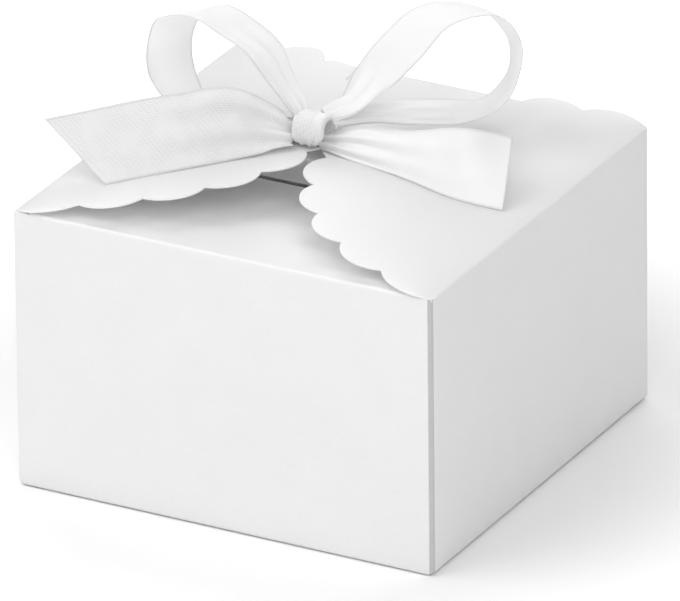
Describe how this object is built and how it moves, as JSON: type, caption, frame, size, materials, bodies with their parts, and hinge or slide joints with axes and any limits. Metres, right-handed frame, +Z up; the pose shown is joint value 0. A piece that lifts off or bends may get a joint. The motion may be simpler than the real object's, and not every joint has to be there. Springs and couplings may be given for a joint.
{
  "type": "favor box",
  "caption": "Square white card favor box with a snap-lock bottom, plain inner flaps and scalloped outer flaps tied shut by a satin ribbon bow.",
  "frame": {"origin": "middle of the bottom, on the plane it stands on", "axes": "+Z up, +X towards the right wall, -Y towards the front wall, the one seen on the left in the picture"},
  "size_m": [0.1505, 0.149, 0.1464],
  "materials": {
    "card": "matt white card",
    "ribbon": "white satin ribbon"
  },
  "bodies": {
    "carton": {"front_wall": "card", "left_wall": "card", "back_wall": "card", "right_wall": "card", "glue_tab": "card", "bottom_front": "card", "bottom_left": "card", "bottom_right": "card", "bottom_back": "card"},
    "left_flap": {"scalloped_left_flap": "card", "ribbon_strap": "ribbon", "bow_knot": "ribbon", "bow_left_loop": "ribbon", "bow_right_loop": "ribbon", "ribbon_left_tail": "ribbon", "ribbon_right_tail": "ribbon"},
    "right_flap": {"scalloped_right_flap": "card"},
    "front_flap": {"inner_front_flap": "card"},
    "back_flap": {"inner_back_flap": "card"}
  },
  "joints": [
    {"name": "left_flap_fold", "type": "hinge", "parent": "carton", "child": "left_flap", "pos_m": [-0.07325, 0, 0.09375], "axis": [0, -1, 0], "range_deg": [0, 135]},
    {"name": "right_flap_fold", "type": "hinge", "parent": "carton", "child": "right_flap", "pos_m": [0.07325, 0, 0.09375], "axis": [0, 1, 0], "range_deg": [0, 135], "deforming": ["ribbon_strap"]},
    {"name": "front_flap_fold", "type": "hinge", "parent": "carton", "child": "front_flap", "pos_m": [0, -0.07325, 0.09375], "axis": [1, 0, 0], "range_deg": [0, 106]},
    {"name": "back_flap_fold", "type": "hinge", "parent": "carton", "child": "back_flap", "pos_m": [0, 0.07325, 0.09375], "axis": [-1, 0, 0], "range_deg": [0, 106]}
  ],
  "couplings": [
    {"joint": "right_flap_fold", "follows": "left_flap_fold", "ratio": 1},
    {"joint": "front_flap_fold", "follows": "left_flap_fold", "ratio": 0.78},
    {"joint": "back_flap_fold", "follows": "left_flap_fold", "ratio": 0.78}
  ]
}
